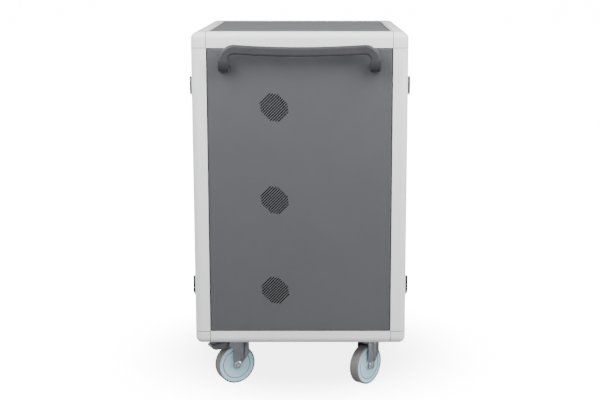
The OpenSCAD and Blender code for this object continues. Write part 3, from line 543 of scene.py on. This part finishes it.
for end, rear in (("front", -1), ("rear", 1)):
    wing = bpy.data.objects["cast_lock_knob_" + end]
    cut_out(wing, lying_cylinder("seat", SEAT_R, SEAT_LONG, rear * WING_Y))
    plug = lying_cylinder("key_cylinder_" + end, PLUG_R, PLUG_LONG, rear * (WING_Y - PLUG_IN))
    bpy.ops.object.mode_set(mode="EDIT")
    pick_faces(plug, lambda c, n: n.y * rear > 0.9)
    bpy.ops.mesh.inset(thickness=RIM)
    bpy.ops.transform.translate(value=(0, rear * PROUD, 0))
    bpy.ops.object.mode_set(mode="OBJECT")
    way = fresh("keyway", bpy.ops.mesh.primitive_cube_add, size=1,
                location=(LOCK_X, rear * WING_Y, LOCK_Z), scale=KEYWAY)
    bpy.ops.object.transform_apply(location=True, scale=True)
    cut_out(plug, way)
    smooth(plug, 30)
    dress(plug, zinc)
    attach(plug, "lock_" + end)
print("key cylinders: 2")

# %% [markdown]
# ## Castor details
# The photograph shows a bright cap nut on each end of an axle and a fine dark line round the
# wheel's disc. The cap nut is a lathe profile turned round the axle by a screw modifier. It has
# a washer, a chamfered collar and a dome, and it goes over the plain hexagon of the CAD
# axle. A thin dark torus lies in the groove of the disc, half hidden in it: painted shade, a dark
# piece standing in for the shade inside the groove.

# %% Castor details
LEG_OUT, RING_OUT = 0.0232, 0.0138               # from the wheel's middle along its axle
RING_R, RING_THICK = 0.0450, 0.0009
AXLES = {joint["child"]: joint for joint in frame["record"]["behaviour"]["joints"]
         if joint["child"].startswith("wheel_")}
# The cap nut's profile: radius and height of each point, from the washer to the dome's top.
CAP = ((0.0, 0.0), (0.0122, 0.0), (0.0122, 0.0012), (0.0108, 0.0016), (0.0108, 0.0052),
       (0.0098, 0.0064), (0.0082, 0.0066), (0.0074, 0.0084), (0.0054, 0.0100), (0.0028, 0.0108),
       (0.0, 0.0110))


def turned(name, profile):
    """A solid of revolution about Z from a profile of radius and height."""
    mesh = bpy.data.meshes.new(name)
    mesh.from_pydata([(r, 0, z) for r, z in profile],
                     [(i, i + 1) for i in range(len(profile) - 1)], [])
    made = bpy.data.objects.new(name, mesh)
    scene.collection.objects.link(made)
    turn = made.modifiers.new("turn", "SCREW")
    turn.axis = "Z"
    turn.steps = turn.render_steps = 32
    turn.use_merge_vertices = True
    turn.use_normal_calculate = True
    active_only(made)
    bpy.ops.object.modifier_apply(modifier="turn")
    smooth(made, 25)
    return made


cap = turned("cap_nut", CAP)
painted_shade_ring = fresh("groove_shade_ring", bpy.ops.mesh.primitive_torus_add, major_radius=RING_R,
             minor_radius=RING_THICK, major_segments=72, minor_segments=8)
smooth(painted_shade_ring, 60)
for corner in CORNERS:
    axle = AXLES["wheel_" + corner]
    centre, along = Vector(axle["pos_m"]), Vector(axle["axis"])
    caps, painted_shade_rings = [], []
    for way in (1, -1):
        turn = (along * way).to_track_quat("Z", "Y").to_matrix().to_4x4()
        caps.append(Matrix.Translation(centre + along * way * LEG_OUT) @ turn)
        painted_shade_rings.append(Matrix.Translation(centre + along * way * RING_OUT) @ turn)
    copies(cap, "axle_caps_" + corner, caps, bright_zinc, "castor_" + corner)
    # Painted shade: dark tori in the wheels' grooves, in place of the shade there.
    copies(painted_shade_ring, "wheel_groove_shade_rings_" + corner, painted_shade_rings, inner_black, "wheel_" + corner)
for pattern in (cap, painted_shade_ring):
    bpy.data.objects.remove(pattern)
print("axle caps: 8, wheel rings: 8")

# %% [markdown]
# ## Edge trims where the doors meet
# The two leaves of a pair meet with a gap of 3 mm. A thin rubber trim is pushed on each leaf's
# free edge, so that no light shows through between them. It is a bar with its long edges
# rounded, one on each door, and half a millimetre stays free between the two.

# %% Door trims
GAP_HALF, FREE_HALF = 0.0015, 0.00025
TRIM_THICK, TRIM_Y, TRIM_LOW, TRIM_HIGH = 0.0016, 0.3150, 0.200, 1.064
reach = GAP_HALF - FREE_HALF
for corner, (right, rear) in CORNERS.items():
    trim = fresh("door_trim_" + corner, bpy.ops.mesh.primitive_cube_add, size=1,
                 location=(right * (GAP_HALF - reach / 2), rear * TRIM_Y,
                           (TRIM_LOW + TRIM_HIGH) / 2),
                 scale=(reach, TRIM_THICK, TRIM_HIGH - TRIM_LOW))
    bpy.ops.object.transform_apply(location=True, scale=True)
    round_edges(trim, TRIM_THICK / 4)
    smooth(trim)
    dress(trim, inner_black)
    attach(trim, "door_" + corner)
print("door trims: 4")

# %% [markdown]
# ## The studio
# The photograph has a burnt-out white ground, a large soft light above and only a breath of shadow
# under the cart. The ground and the sky glow for the camera alone, so that they come out white
# without washing the cart out, and the ground glows less under the cart: a painted shadow, on top
# of the real shadow that the lights cast on it. A soft sky, dimmer near the ground, and six area
# lights do the lighting. Two of them hang near the upper corners, so the light falls off downwards
# and towards the middle of the side. A large one stands in front, a narrow upright one on the
# right draws the bright lines on the castors and on the rounded posts, and two more light the
# doors.

# %% Floor
# Far from the cart the glow makes an evenly white ground; the weaker glow under the cart is a
# painted shadow.
GLOW, GLOW_UNDER_PAINTED_SHADOW = 16.0, 4.7                     # strength far from the cart and under it
PAINTED_SHADOW_IN, PAINTED_SHADOW_OUT = 0.25, 0.72                 # radii between which the glow rises
FLOOR_BACK = 6.0                                 # the floor's middle lies that far behind the cart
WHITE = (1.0, 1.0, 1.0, 1.0)
floor = fresh("studio_floor", bpy.ops.mesh.primitive_plane_add, size=30,
              location=(-FLOOR_BACK, 0, 0))
paper, tree, shader, place = start("matt_white_paper")
clouds = grain(tree, place, 0.5)
tree.links.new(blend_colours(tree, clouds, linear("#88888a"), linear("#848486")),
               shader.inputs["Base Color"])
shader.inputs["Roughness"].default_value = 0.9
shader.inputs["Emission Color"].default_value = WHITE
# The glow falls off towards the cart: painted shadow under it, seen by the camera only.
away = add(tree, "ShaderNodeVectorMath", {0: place, 1: (FLOOR_BACK, 0.0, 0.0)},
           operation="DISTANCE").outputs["Value"]
glow = add(tree, "ShaderNodeMapRange", {"Value": away, "From Min": PAINTED_SHADOW_IN, "From Max": PAINTED_SHADOW_OUT,
                                        "To Min": GLOW_UNDER_PAINTED_SHADOW, "To Max": GLOW},
           interpolation_type="SMOOTHSTEP").outputs[0]
seen = add(tree, "ShaderNodeLightPath").outputs["Is Camera Ray"]
tree.links.new(combine(tree, glow, seen, "MULTIPLY"), shader.inputs["Emission Strength"])
dress(floor, paper)
print("floor:", floor.name)

# %% World and lights
SKY_LOW, SKY_HIGH = 0.3, 1.25                    # strength below the horizon and overhead
world = bpy.data.worlds.new("studio_world")
scene.world = world
world.use_nodes = True
sky = world.node_tree
towards = add(sky, "ShaderNodeTexCoord").outputs["Generated"]
height = add(sky, "ShaderNodeSeparateXYZ", {"Vector": towards}).outputs["Z"]
lit = add(sky, "ShaderNodeMapRange", {"Value": height, "From Min": -0.1, "From Max": 0.9,
                                      "To Min": SKY_LOW, "To Max": SKY_HIGH}).outputs[0]
seen = add(sky, "ShaderNodeLightPath").outputs["Is Camera Ray"]
strength = spread(sky, seen, lit, GLOW)
sky.nodes["Background"].inputs["Color"].default_value = WHITE
sky.links.new(strength, sky.nodes["Background"].inputs["Strength"])

# Each light's place, target, width, height and power in watts.
LIGHTS = {
    "light_upper_left": ((1.25, -0.95, 1.95), (0.4, -0.1, 0.85), 1.1, 1.1, 46),
    "light_upper_right": ((1.25, 0.95, 1.95), (0.4, 0.1, 0.85), 1.1, 1.1, 49),
    "light_front": ((4.2, -1.8, 2.4), (0.3, 0.0, 0.8), 2.2, 2.2, 60),
    "light_strip": ((1.3, 2.3, 0.6), (0.3, 0.0, 0.4), 0.28, 1.9, 40),
    "light_doors_front": ((-1.8, -3.4, 1.6), (0.0, 0.0, 0.7), 2.2, 2.2, 70),
    "light_doors_rear": ((-1.8, 3.4, 1.6), (0.0, 0.0, 0.7), 2.2, 2.2, 70),
}
for name, (place, target, width, height, power) in LIGHTS.items():
    aim = (Vector(target) - Vector(place)).to_track_quat("-Z", "Y").to_euler()
    bpy.ops.object.light_add(type="AREA", location=place, rotation=aim)
    lamp = bpy.context.object
    lamp.name = name
    lamp.data.shape = "RECTANGLE"
    lamp.data.size, lamp.data.size_y = width, height
    lamp.data.energy = power
